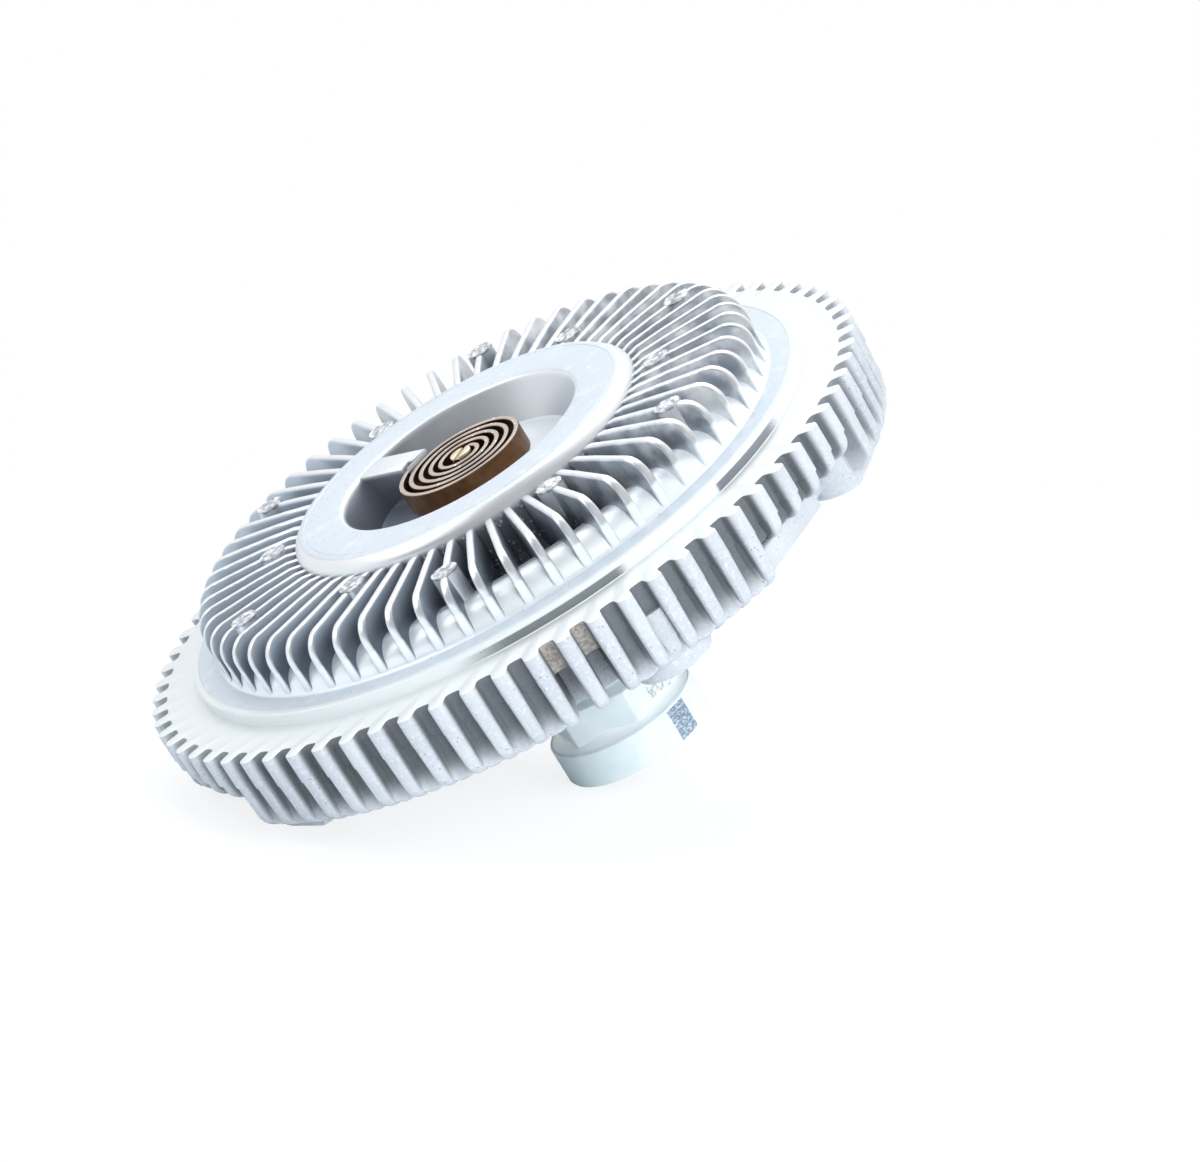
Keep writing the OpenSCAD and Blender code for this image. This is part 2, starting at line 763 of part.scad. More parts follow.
module bimetal_coil() {
    step = 10;
    half = strip_t / 2;
    from = coil_start - coil_tail;
    angles = concat([for (a = [from : step : coil_end - step]) a], [coil_end]);
    side = function (offset) [for (a = angles) let (r = coil_radius(a) + offset) [r * cos(a), r * sin(a)]];
    reverse = function (list) [for (i = [len(list) - 1 : -1 : 0]) list[i]];
    inner_r = coil_radius(coil_end);
    color("#7a4f31") translate([0, 0, coil_rear_z]) linear_extrude(height = strip_w) {
        polygon(concat(side(half), reverse(side(-half))));
        rotate(coil_end) translate([-valve_r, -half]) square([inner_r + valve_r + half, strip_t]);
    }
}

rear_housing();
front_cover();
cover_seal();
drive_hub();
rotor_disc();
bearing_inner_race();
bearing_outer_race();
bearing_balls();
bearing_cage();
bearing_shield_front();
bearing_shield_rear();
bearing_snap_ring();
reservoir_plate();
plate_rivets();
wiper();
valve_shaft();
valve_arm();
shaft_seal();
shaft_clip();
bimetal_coil();
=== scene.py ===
# Viscous fan clutch: a finned housing and cover that turn on the shaft of a steel hub nut,
# with a bimetal coil at the front. Everything is drawn in millimetres and scaled once, to metres.
import random
from math import asin, atan2, cos, degrees, pi, radians, sin, sqrt, tan

import bmesh
import bpy
from mathutils import Matrix, Vector


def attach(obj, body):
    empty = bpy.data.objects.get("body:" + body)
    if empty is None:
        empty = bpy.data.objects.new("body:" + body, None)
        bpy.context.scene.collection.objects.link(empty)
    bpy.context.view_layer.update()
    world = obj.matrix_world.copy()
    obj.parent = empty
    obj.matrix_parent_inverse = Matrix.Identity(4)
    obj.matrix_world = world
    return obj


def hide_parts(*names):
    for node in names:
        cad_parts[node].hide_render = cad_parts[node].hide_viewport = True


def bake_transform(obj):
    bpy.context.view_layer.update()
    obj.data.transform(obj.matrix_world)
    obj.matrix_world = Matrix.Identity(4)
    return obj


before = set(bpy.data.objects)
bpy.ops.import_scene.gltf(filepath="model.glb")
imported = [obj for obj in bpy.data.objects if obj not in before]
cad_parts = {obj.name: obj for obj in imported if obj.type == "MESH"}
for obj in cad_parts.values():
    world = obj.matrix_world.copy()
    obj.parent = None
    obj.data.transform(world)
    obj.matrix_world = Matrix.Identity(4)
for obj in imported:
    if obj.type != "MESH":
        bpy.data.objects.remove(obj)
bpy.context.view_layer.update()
scene = bpy.context.scene
scene.view_settings.view_transform = "Standard"


# Hub nut: one steel forging, turned and threaded, with a round collar, a hexagon for the spanner
# and a neck that runs forward through the bearing. It is zinc plated, pale blue-green, and its
# left-hand thread takes the end of the drive shaft.
MM = 0.001


def lathe(profile, steps):
    """A closed profile of radius and height, spun about the axis."""
    bm = bmesh.new()
    verts = [bm.verts.new((r, 0, z)) for r, z in profile]
    ends_on_axis = profile[0][0] == 0 and profile[-1][0] == 0
    edges = [bm.edges.new(pair) for pair in zip(verts, verts[1:] + ([] if ends_on_axis else verts[:1]))]
    bmesh.ops.spin(bm, geom=verts + edges, cent=(0, 0, 0), axis=(0, 0, 1), dvec=(0, 0, 0),
                   angle=2 * pi, steps=steps, use_merge=True)
    bmesh.ops.remove_doubles(bm, verts=bm.verts, dist=0.001)
    return bm


def as_mesh(bm):
    """A loose mesh of a finished shape, to be set in place with stamp."""
    mesh = bpy.data.meshes.new("shape")
    bm.to_mesh(mesh)
    bm.free()
    return mesh


def stamp(bm, mesh, turn=0.0, place=(0, 0, 0)):
    """Adds a copy of a shape, moved to a place and then turned about the axis by degrees."""
    copy = mesh.copy()
    copy.transform(Matrix.Rotation(radians(turn), 4, "Z") @ Matrix.Translation(place))
    bm.from_mesh(copy)
    bpy.data.meshes.remove(copy)


def extrude(bm, face, way):
    """Draws a solid out of a face, which stays as its first end."""
    new = bmesh.ops.extrude_face_region(bm, geom=[face])["geom"]
    bmesh.ops.translate(bm, vec=way, verts=[v for v in new if isinstance(v, bmesh.types.BMVert)])


def round_edges(bm, edges, offset, segments=3, clamp=False):
    """Rounds edges as a casting's or a machined piece's are; clamp stops two rounds from crossing."""
    bmesh.ops.bevel(bm, geom=edges, offset=offset, segments=segments, profile=0.5, affect="EDGES",
                    clamp_overlap=clamp, material=-1)


def finished(bm, name, crease=32):
    """The piece's object: doubles merged, faces outwards, edges over the crease angle sharp."""
    bmesh.ops.remove_doubles(bm, verts=bm.verts, dist=0.002)
    bmesh.ops.recalc_face_normals(bm, faces=bm.faces)
    bmesh.ops.scale(bm, vec=(MM, MM, MM), verts=bm.verts)
    for face in bm.faces:
        face.smooth = True
    for edge in bm.edges:
        edge.smooth = edge.is_manifold and edge.calc_face_angle(0) < radians(crease)
    mesh = bpy.data.meshes.new(name)
    bm.to_mesh(mesh)
    bm.free()
    piece = bpy.data.objects.new(name, mesh)
    scene.collection.objects.link(piece)
    return piece


class Field:
    """A value that varies over a surface, so that shader maths is plain arithmetic."""

    def __init__(self, socket):
        self.socket = socket
        self.tree = socket.id_data

    def node(self, kind, settings, sockets=None, out=0):
        """The output of a new shader node; a socket takes another field or a constant."""
        new = self.tree.nodes.new("ShaderNode" + kind)
        for key, value in settings.items():
            setattr(new, key, value)
        for key, value in (sockets or {}).items():
            if isinstance(value, Field):
                self.tree.links.new(value.socket, new.inputs[key])
            else:
                new.inputs[key].default_value = value
        return Field(new.outputs[out])

    def maths(self, operation, *values):
        return self.node("Math", {"operation": operation}, dict(enumerate(values)))

    def __add__(self, other):
        return self.maths("ADD", self, other)

    def __sub__(self, other):
        return self.maths("SUBTRACT", self, other)

    def __rsub__(self, other):
        return self.maths("SUBTRACT", other, self)

    def __mul__(self, other):
        return self.maths("MULTIPLY", self, other)

    __radd__ = __add__
    __rmul__ = __mul__

    def ramp(self, low, high):
        """0 below low, 1 above high, smooth between them; low may be the larger."""
        return self.node("MapRange", {"interpolation_type": "SMOOTHSTEP"},
                         {"Value": self, "From Min": low, "From Max": high, "To Min": 0.0, "To Max": 1.0})

    def ramp_mm(self, low, high):
        """The same, with both ends in millimetres."""
        return self.ramp(low * MM, high * MM)

    def mix(self, off, on):
        """The colour off where this is 0, and on where it is 1."""
        sockets = {0: self, 6: off, 7: on}
        return self.node("Mix", {"data_type": "RGBA", "clamp_factor": True}, sockets, out=2)

    def grain(self, scale, detail=3.0, rough=0.55, stretch=None):
        """Noise over this position, stretched along an axis where a finish has a direction."""
        where = self
        if stretch:
            where = self.node("Mapping", {}, {"Vector": self, "Scale": stretch})
        sockets = {"Vector": where, "Scale": scale, "Detail": detail, "Roughness": rough}
        return where.node("TexNoise", {}, sockets)


def rgb(r, g, b):
    return (r, g, b, 1.0)


class Finish:
    """A material with its surface position, axis distance and height at hand."""

    def __init__(self, name, **constants):
        self.material = bpy.data.materials.new(name)
        self.material.use_nodes = True
        self.tree = self.material.node_tree
        self.shader = self.tree.nodes["Principled BSDF"]
        for socket, value in constants.items():
            self.shader.inputs[socket.replace("_", " ")].default_value = value
        coords = self.tree.nodes.new("ShaderNodeTexCoord")
        self.place = Field(coords.outputs["Object"])
        split = self.tree.nodes.new("ShaderNodeSeparateXYZ")
        self.tree.links.new(coords.outputs["Object"], split.inputs[0])
        self.x, self.y, self.z = (Field(out) for out in split.outputs)
        self.radius = self.place.maths("SQRT", self.x * self.x + self.y * self.y)

    def around(self, *angles):
        """1 from the second angle about the axis to the third, fading to 0 at the first and the fourth."""
        fade_in, start, end, fade_out = (radians(angle) for angle in angles)
        angle = self.place.maths("ARCTAN2", self.y, self.x)
        return angle.ramp(fade_in, start) * angle.ramp(fade_out, end)

    def attribute(self, name):
        return self.place.node("Attribute", {"attribute_name": name}, out=2)

    def set(self, socket, field):
        self.tree.links.new(field.socket, self.shader.inputs[socket])

    def bump(self, height, depth_mm, strength):
        sockets = {"Height": height, "Strength": strength, "Distance": depth_mm * MM}
        self.set("Normal", self.place.node("Bump", {}, sockets))

    def paint(self, *pieces):
        for piece in pieces:
            piece.data.materials.clear()
            piece.data.materials.append(self.material)


collar_r, collar_top = 20.5, 10.3
hex_across_flats, hex_length, hex_turn, hex_lift, flare_top = 32.0, 10.2, 39.8, 0.8, 14.5
neck_r = 10.0
thread_minor_r, thread_major_r, thread_pitch, thread_depth = 10.19, 11.05, 1.5, 17.0
thread_start, thread_turns, turn_steps = 1.2, 10, 40
crest_half, ridge_foot_half, ridge_foot_r = 0.1, 0.72, thread_major_r + 0.3

hub = lathe([
    (0, thread_depth + 6.1), (thread_major_r, thread_depth), (thread_major_r, 0.75), (11.7, 0),
    (19.5, 0), (20.2, 0.25), (collar_r, 0.9), (collar_r, 9.9), (20.35, 10.1), (20.15, 10.1),
    (20.05, 9.8), (19.9, 9.8), (19.8, 10.2), (18.6, 10.5), (17.4, 11.0), (16.5, 11.8), (16.0, 12.8),
    (15.8, 13.8), (14.0, 14.2), (14.0, 20.2), (neck_r + 0.8, 20.4), (neck_r, 21.2), (neck_r, 32),
    (11.6, 34), (11.6, 37), (8.5, 37), (8.5, 49), (7.5, 49), (7.5, 65), (8.6, 65), (7.8, 66.5), (0, 66.5),
], 128)
# Marks the widening between collar and hexagon, whose colour is painted light: near-white where the rim's
# overhang keeps the lamps off it
flare_painted_light = hub.verts.layers.float.new("flare_painted_light")
for v in hub.verts:
    v[flare_painted_light] = 1.0 if collar_top < v.co.z < flare_top else 0.0
hexagon = bmesh.new()
bmesh.ops.create_circle(hexagon, cap_ends=True, segments=6, radius=hex_across_flats / 2 / cos(pi / 6))
extrude(hexagon, next(iter(hexagon.faces)), (0, 0, hex_length - hex_lift))
round_edges(hexagon, [e for e in hexagon.edges if abs(e.verts[0].co.z - e.verts[1].co.z) > 1], 0.7)
round_edges(hexagon, [e for e in hexagon.edges if abs(e.verts[0].co.z - e.verts[1].co.z) < 0.01
                      and e.is_manifold and e.calc_face_angle(0) > 1], 0.55)
# The circle's first corner lies on +Y, so it is turned back to +X first
stamp(hub, as_mesh(hexagon), hex_turn - 90, (0, 0, collar_top + hex_lift))
thread = bmesh.new()
thread_ridge = thread.faces.new([thread.verts.new((r, 0, z)) for r, z in (
    (ridge_foot_r, -ridge_foot_half), (thread_minor_r, -crest_half),
    (thread_minor_r, crest_half), (ridge_foot_r, ridge_foot_half))])
bmesh.ops.spin(thread, geom=[thread_ridge], cent=(0, 0, 0), axis=(0, 0, 1),
               dvec=(0, 0, thread_pitch / turn_steps), angle=-2 * pi * thread_turns,
               steps=thread_turns * turn_steps)
stamp(hub, as_mesh(thread), 0, (0, 0, thread_start))
hub_nut = finished(hub, "hub_nut")

zinc = Finish("zinc_plate", Metallic=0.15)
cloud = zinc.place.grain(160, 4)
speck = zinc.place.grain(1100, 3, 0.7)
lathe_lines = zinc.place.grain(900, 2, stretch=(0.02, 0.02, 1.0))
tint = cloud.ramp(0.35, 0.7).mix(rgb(0.74, 0.82, 0.835), rgb(0.82, 0.875, 0.885))
stain = zinc.place.grain(55, 5, 0.65).ramp(0.62, 0.78)
tint = stain.mix(tint, rgb(0.62, 0.70, 0.69))
shade_flecks = zinc.place.grain(650, 5, 0.75)
on_collar = zinc.radius.ramp_mm(20.1, 20.3) * zinc.z.ramp_mm(9.5, 9.2)
# A dark mottled band on the collar's right: painted shade, where the collar turns away from the lamps
painted_shade_band = on_collar * zinc.around(-62, -61, -43.5, -42.5)
shade_band_streaks = zinc.place.grain(1500, 5, 0.75, stretch=(0.7, 0.7, 1.2))
tint = painted_shade_band.mix(tint, shade_band_streaks.ramp(0.42, 0.66).mix(rgb(0.15, 0.22, 0.31), rgb(0.66, 0.74, 0.80)))
# Dark specks over the right part of the hexagon's right-hand flat: painted shade, where that part of the flat
# falls out of the light
on_flat = zinc.radius.ramp_mm(15.9, 16.0) * zinc.z.ramp_mm(11.5, 12.0)
shaded_flat_part = on_flat * zinc.around(-60, -57, -22, -20)
tint = (shaded_flat_part * shade_flecks.ramp(0.48, 0.58)).mix(tint, rgb(0.42, 0.47, 0.48))
# The near-white of that widening is painted light
zinc.set("Base Color", zinc.attribute("flare_painted_light").mix(tint, rgb(0.93, 0.965, 0.97)))
zinc.set("Roughness", 0.30 + 0.16 * cloud + 0.1 * stain)
zinc.bump(speck * 0.8 + lathe_lines * 0.4, 0.06, 0.6)
zinc.paint(hub_nut)
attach(hub_nut, "hub")
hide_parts("drive_hub")


# Ball bearing: two ground steel races, eight balls in a brass cage, a pressed shield on each side and
# a blackened snap ring that holds it in the housing's boss. Only its rear side shows, round the neck.
def turning(finish, per_metre, detail=3.0, rough=0.5):
    """Fine rings left by the lathe or the grinding wheel, all round the axis."""
    sockets = {"W": finish.radius, "Scale": per_metre, "Detail": detail, "Roughness": rough}
    return finish.radius.node("TexNoise", {"noise_dimensions": "1D"}, sockets)


bearing_steel = Finish("ground_bearing_steel", Metallic=1.0)
grind = turning(bearing_steel, 9000.0, 2.0)
smudge = bearing_steel.place.grain(240, 3)
bearing_steel.set("Base Color", smudge.ramp(0.3, 0.7).mix(rgb(0.58, 0.59, 0.61), rgb(0.72, 0.73, 0.74)))
bearing_steel.set("Roughness", 0.18 + 0.2 * grind)
bearing_steel.bump(grind, 0.01, 0.3)
bearing_steel.paint(*(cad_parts["bearing_" + piece] for piece in (
    "inner_race", "outer_race", "balls", "shield_front", "shield_rear")))
cage_brass = Finish("cage_brass", Metallic=1.0)
brass_grain = cage_brass.place.grain(700, 3)
cage_brass.set("Base Color", brass_grain.mix(rgb(0.60, 0.45, 0.20), rgb(0.78, 0.62, 0.32)))
cage_brass.set("Roughness", 0.3 + 0.2 * brass_grain)
cage_brass.paint(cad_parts["bearing_cage"])
black_spring = Finish("blackened_spring_steel", Metallic=0.8)
oxide = black_spring.place.grain(500, 4)
black_spring.set("Base Color", oxide.ramp(0.4, 0.75).mix(rgb(0.05, 0.052, 0.058), rgb(0.16, 0.15, 0.15)))
black_spring.set("Roughness", 0.35 + 0.3 * oxide)
black_spring.bump(oxide, 0.02, 0.4)
black_spring.paint(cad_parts["bearing_snap_ring"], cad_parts["shaft_clip"])


# Rotor, port plate, rivets, wiper and seals: the pieces inside the fluid chamber, shut in by the cover.
# The rotor is turned aluminium pressed on the hub's shaft, the plate is plated sheet riveted to the
# cover, the wiper is moulded plastic and the seals are black rubber.
rotor_turned = Finish("turned_rotor", Metallic=1.0)
feed = turning(rotor_turned, 4000.0, 1.0)
rotor_turned.set("Base Color", feed.mix(rgb(0.56, 0.57, 0.59), rgb(0.70, 0.71, 0.73)))
rotor_turned.set("Roughness", 0.25 + 0.2 * feed)
rotor_turned.bump(feed, 0.02, 0.5)
rotor_turned.paint(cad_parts["rotor_disc"])
plated_sheet = Finish("plated_sheet", Metallic=1.0)
plating = plated_sheet.place.grain(120, 5)
plated_sheet.set("Base Color", plating.ramp(0.3, 0.7).mix(rgb(0.66, 0.58, 0.36), rgb(0.74, 0.68, 0.52)))
plated_sheet.set("Roughness", 0.28 + 0.2 * plating)
plated_sheet.paint(*(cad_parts[n] for n in ("reservoir_plate", "plate_rivets", "valve_arm")))
wiper_plastic = Finish("wiper_plastic")
moulding = wiper_plastic.place.grain(900, 2)
wiper_plastic.set("Base Color", moulding.mix(rgb(0.40, 0.36, 0.28), rgb(0.48, 0.43, 0.34)))
wiper_plastic.set("Roughness", 0.5 + 0.15 * moulding)
wiper_plastic.paint(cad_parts["wiper"])
seal_rubber = Finish("seal_rubber")
bloom = seal_rubber.place.grain(400, 3)
seal_rubber.set("Base Color", bloom.mix(rgb(0.02, 0.02, 0.022), rgb(0.05, 0.05, 0.052)))
seal_rubber.set("Roughness", 0.55 + 0.2 * bloom)
seal_rubber.paint(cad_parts["cover_seal"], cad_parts["shaft_seal"])


# Rear housing: an aluminium pressure die casting, shot-blasted, with the front of its toothed rim and
# its lip machined. Each of the 72 teeth runs on behind the rim as a cooling fin, and most grooves end in
# a scoop at the rear. Lugs and flat pads take the fan, and the lip is rolled over the cover's edge.
TEETH = 72
tooth_turn, third = 4.0, 120.0
rim_front, rim_rear = 72.0, 63.8
tooth_tip_r, groove_root_r, wall_r, lip_r = 102.5, 98.0, 88.0, 86.2
back_z, fin_rear, lip_top = 50.0, 49.7, 75.8
rear_fin_thick, rear_fin_round, full_corner, short_corner = 4.4, 1.5, 5.2, 4.4
skirt_r, full_rise, short_rise = 94.7, 2.2, 0.6
half_pitch = radians(180 / TEETH)


def arc(x, y, r, start, end, steps):
    """Points on a circle about x, y, from one angle in degrees to another."""
    angles = [radians(start + (end - start) * i / steps) for i in range(steps + 1)]
    return [(x + r * cos(a), y + r * sin(a)) for a in angles]


def shelter(bm, share):
    """Marks how far down between the fins each point lies: 0 in the open and 1 at the bottom of a groove; the
    materials darken by it as painted shade.
    """
    layer = bm.verts.layers.float.new("shelter")
    for v in bm.verts:
        v[layer] = min(1.0, max(0.0, share(v.co)))


def tooth_outline():
    """Half of one tooth in plan, from the groove's middle to the rounded tip."""
    fillet = arc(groove_root_r + 0.95, -3.3, 0.95, 180, 90, 4)
    crown = arc(tooth_tip_r - 1.7, -0.45, 1.7, -90, 0, 5)
    groove_middle = groove_root_r * cos(half_pitch), -groove_root_r * sin(half_pitch)
    return [groove_middle] + fillet + crown + [(tooth_tip_r, 0)]


half_tooth = tooth_outline()
inner = (wall_r - 1) * cos(half_pitch), (wall_r - 1) * sin(half_pitch)
plan = [(inner[0], -inner[1])] + half_tooth + [(x, -y) for x, y in half_tooth[-2::-1]] + [inner]
sector = bmesh.new()
rim_face = sector.faces.new([sector.verts.new((x, y, rim_rear)) for x, y in plan])
extrude(sector, rim_face, (0, 0, rim_front - rim_rear))
cut_faces = [f for f in sector.faces if any(
    all(abs(v.co.y - side * v.co.x * tan(half_pitch)) < 0.01 for v in f.verts) for side in (-1, 1))]
bmesh.ops.delete(sector, geom=cut_faces, context="FACES")
outer_edges = [e for e in sector.edges if abs(e.verts[0].co.z - e.verts[1].co.z) < 0.01
               and len(e.link_faces) == 2 and all(v.co.x > wall_r + 5 for v in e.verts)]
round_edges(sector, outer_edges, 0.35, 2)
shelter(sector, lambda p: 1)
first_turn = Matrix.Rotation(radians(tooth_turn), 3, "Z")
bmesh.ops.rotate(sector, cent=(0, 0, 0), matrix=first_turn, verts=sector.verts)
bmesh.ops.spin(sector, geom=sector.verts[:] + sector.edges[:] + sector.faces[:], cent=(0, 0, 0),
               axis=(0, 0, 1), dvec=(0, 0, 0), angle=2 * pi * (TEETH - 1) / TEETH, steps=TEETH - 1,
               use_duplicate=True)
bmesh.ops.remove_doubles(sector, verts=sector.verts, dist=0.01)
rim = as_mesh(sector)


def blade(outline, thickness, root, edge_round, widen):
    """A cast fin from its side view: rounded on the edges that don't touch the root, thicker towards it."""
    bm = bmesh.new()
    side = bm.faces.new([bm.verts.new((r, -thickness / 2, z)) for r, z in outline])
    extrude(bm, side, (0, thickness, 0))
    rim_edges = [e for e in bm.edges if abs(e.verts[0].co.y - e.verts[1].co.y) < 0.01
                 and not all(root(v.co) for v in e.verts)]
    round_edges(bm, rim_edges, edge_round)
    shelter(bm, lambda p: max(0.0, 1 - (thickness / 2 - abs(p.y)) / edge_round) ** 2)
    for v in bm.verts:
        v.co.y *= widen(v.co)
    return bm


def rear_fin(rear_z, corner):
    """A tooth's run behind the rim, with a rounded rear corner."""
    tip = tooth_tip_r - 0.25
    outline = [(wall_r - 2, rim_rear + 4), (wall_r - 2, max(rear_z, back_z) + 1), (wall_r + 1, rear_z + 0.4)]
    outline += arc(tip - 0.5 - corner, rear_z + corner, corner, -90, -12, 6) + [(tip, rim_rear + 4)]
    return as_mesh(blade(outline, rear_fin_thick, lambda p: p.z > rim_rear + 3 or p.x < wall_r,
                         rear_fin_round,
                         lambda p: 0.88 + 0.12 * min(1.0, (p.z - rear_z) / (rim_rear - fin_rear))))


def scoop(rear_z, core_r, rise):
    """The bottom of one groove, which curves outwards at its rear end and rises to the fins at its sides."""
    foot, floor_r = rear_z + 1.1, groove_root_r - 0.5
    run_out, end_round, reach = 7, 1, rise + 0.03
    bend = foot + (end_round + run_out)
    curve = (run_out ** 2 + reach ** 2) / (2 * reach)
    top = max(rim_rear + 2, foot + 9)
    outline = [(core_r, top), (floor_r, top)]
    outline += arc(floor_r + curve, bend, curve, 180, 180 + degrees(asin(run_out / curve)), 6)
    outline += arc(floor_r + rise - end_round, foot + end_round, end_round, -15, -90, 3)
    outline += [(core_r + rise, foot), (core_r, bend)]
    bm = bmesh.new()
    end = bm.faces.new([bm.verts.new((r, 0, z)) for r, z in outline])
    sweep = 2 * half_pitch * 0.98
    bmesh.ops.rotate(bm, cent=(0, 0, 0), matrix=Matrix.Rotation(-sweep / 2, 3, "Z"), verts=bm.verts)
    bmesh.ops.spin(bm, geom=[end], cent=(0, 0, 0), axis=(0, 0, 1), dvec=(0, 0, 0), angle=sweep, steps=12)
    shelter(bm, lambda p: 1.4 - (p.xy.length - floor_r) / 1.8)
    for v in bm.verts:
        r = v.co.xy.length
        side = abs(atan2(v.co.y, v.co.x)) / half_pitch
        if r > floor_r - 0.1:
            lift = max(0.0, min(1.0, (side - 0.17) / 0.33)) ** 2 * min(1.0, (v.co.z - foot) / 4)
            v.co.xy *= 1 + (rise - short_rise) * lift / r
        if v.co.z < foot + 2 and r > floor_r - 0.1:
            v.co.z -= 0.45 * max(0.0, 1 - (2 * side) ** 2)
    return as_mesh(bm)


lug_turn, plain_lug_turn, pad_turn, pad_sweep = 92.0, 42.0, 79.0, 19.0
lug_seat, fan_bolt_r, lug_r, pad_z, pad_top, pad_r = 46.6, 89.0, 10.5, 52.4, 58.6, 94.9
open_turn, open_half, short_rear, short_lead, short_sweep = 29.0, 5.0, 58.0, 20.0, 30.0
RIBS = 24
rib_size, rib_place = (48, 3, 6), (50, 0, 49)

housing = lathe([
    (20, 49), (20, 34.3), (20.8, 33.5), (26.2, 33.5), (26.9, 34.2), (27.7, 47.6), (28.4, 49.3), (30, back_z),
    (86.6, back_z), (87.6, 50.4), (wall_r, 51.4), (wall_r, 75.4), (87.7, lip_top), (86.35, lip_top),
    (lip_r, 75.65), (lip_r, 70), (84, 70), (84, 55), (17, 55), (17, 49),
], 216)
# The chamber wall between the fins is marked 0.7 sheltered, so the material paints it shaded
shelter(housing, lambda p: 0.7 if p.xy.length > wall_r - 1 and p.z < rim_front else 0)
stamp(housing, rim)


def over_pad(turn):
    """Whether an angle lies over a pad or its lug, where the fins are short."""
    return 0.1 < (turn - pad_turn + short_lead) % third < short_sweep - 0.1


full_fin, short_fin = rear_fin(fin_rear, full_corner), rear_fin(short_rear, short_corner)
full_scoop, short_scoop = scoop(fin_rear, skirt_r, full_rise), scoop(short_rear, wall_r - 2, short_rise)
for i in range(TEETH):
    a = tooth_turn + i * 360 / TEETH
    stamp(housing, short_fin if over_pad(a) else full_fin, a)
    groove = a + 180 / TEETH
    if abs((groove - open_turn + third / 2) % third - third / 2) > open_half:
        stamp(housing, short_scoop if over_pad(groove) else full_scoop, groove)


def fan_lug(end, face_r):
    """A round lug behind the rim, flat on its outside and cut back to the chamber's wall on its inside."""
    bm = lathe(end + [(9.5, lug_seat), (10.2, 46.9), (lug_r, 47.6), (lug_r, 63.9), (0, 63.9)], 40)
    for v in bm.verts:
        if v.co.z > 51 and (v.co + Vector((fan_bolt_r, 0, 0))).xy.length < wall_r - 1.5:
            v.co.x = sqrt((wall_r - 1.5) ** 2 - v.co.y ** 2) - fan_bolt_r
        v.co.x = min(v.co.x, face_r - fan_bolt_r)
    return as_mesh(bm)


threaded_lug = fan_lug([(0, 59.6), (3.4, 59.6), (3.4, 47.3), (4.1, lug_seat)], pad_r)
plain_lug = fan_lug([(0, 47.1), (1.6, 46.9), (2.2, lug_seat)], tooth_tip_r)
pad = bmesh.new()
pad_face = pad.faces.new([pad.verts.new((x, y, pad_z)) for x, y in (
    (wall_r - 2, 0), ((wall_r - 2) * cos(radians(pad_sweep)), -(wall_r - 2) * sin(radians(pad_sweep))),
    (pad_r, -pad_r * tan(radians(pad_sweep))), (pad_r, -4))])
extrude(pad, pad_face, (0, 0, pad_top - pad_z))
round_edges(pad, [e for e in pad.edges if all(v.co.x > pad_r - 0.1 for v in e.verts)], 0.8)
pad = as_mesh(pad)
for k in range(3):
    stamp(housing, threaded_lug, lug_turn + third * k, (fan_bolt_r, 0, 0))
    stamp(housing, plain_lug, plain_lug_turn + third * k, (fan_bolt_r, 0, 0))
    stamp(housing, pad, pad_turn + third * k)
rib = bmesh.new()
bmesh.ops.create_cube(rib, size=1)
bmesh.ops.scale(rib, vec=rib_size, verts=rib.verts)
round_edges(rib, [e for e in rib.edges if all(v.co.z < 0 for v in e.verts)], 1.0)
rib = as_mesh(rib)
for i in range(RIBS):
    stamp(housing, rib, i * 360 / RIBS, rib_place)
rear_casting = finished(housing, "rear_casting", 28)


def pits(finish, scale, low, high):
    """Scattered round pits, 1 in a pit and 0 elsewhere."""
    cells = finish.place.node("TexVoronoi", {"feature": "F1"}, {"Vector": finish.place, "Scale": scale})
    return cells.ramp(high, low)


blasted = Finish("blasted_casting")
blast = blasted.place.grain(1300, 3, 0.6)
mottle = blasted.place.grain(1150, 4, 0.7)
shade = blasted.place.grain(45, 4)
pit = pits(blasted, 620, 0.08, 0.17) * blasted.place.grain(130, 2).ramp(0.45, 0.6)
machined = blasted.z.ramp_mm(71.75, 71.85) * blasted.radius.ramp_mm(86.0, 86.1)
lip_wall = blasted.z.ramp_mm(72.2, 72.4) * blasted.radius.ramp_mm(87.8, 87.9)
lip_wall = lip_wall * blasted.radius.ramp_mm(88.6, 88.4) * blasted.z.ramp_mm(74.7, 74.2)
rim_lines = turning(blasted, 3500.0, rough=0.7)
# Painted shade: dark between the fins and on the chamber wall, fading towards the fins' rear ends and lighter
# away from the side nearest the camera
groove_painted_shade = blasted.attribute("shelter") * blasted.radius.ramp_mm(101.9, 99.9)
groove_painted_shade = groove_painted_shade * (0.25 + 0.75 * blasted.z.ramp_mm(50.0, 58.0)) * (1 - 0.45 * blasted.y.ramp_mm(-75.0, -25.0))
wedge = blasted.place.maths("ARCTAN2", blasted.y, blasted.x) - radians(open_turn - open_half)
in_third = blasted.place.maths("FRACT", wedge * (1 / radians(third)))
in_open = blasted.place.maths("LESS_THAN", in_third, 2 * open_half / third)
trimmed = in_open * blasted.radius.ramp_mm(98.7, 98.4) * blasted.z.ramp_mm(63.6, 64.0)
cast_grey = shade.ramp(0.3, 0.7).mix(rgb(0.53, 0.562, 0.61), rgb(0.62, 0.648, 0.69))
cast_grey = mottle.ramp(0.48, 0.72).mix(cast_grey, rgb(0.70, 0.728, 0.765))
cast_grey = pit.mix(cast_grey, rgb(0.25, 0.265, 0.29))
cast_grey = groove_painted_shade.mix(cast_grey, mottle.mix(rgb(0.12, 0.135, 0.15), rgb(0.22, 0.235, 0.255)))
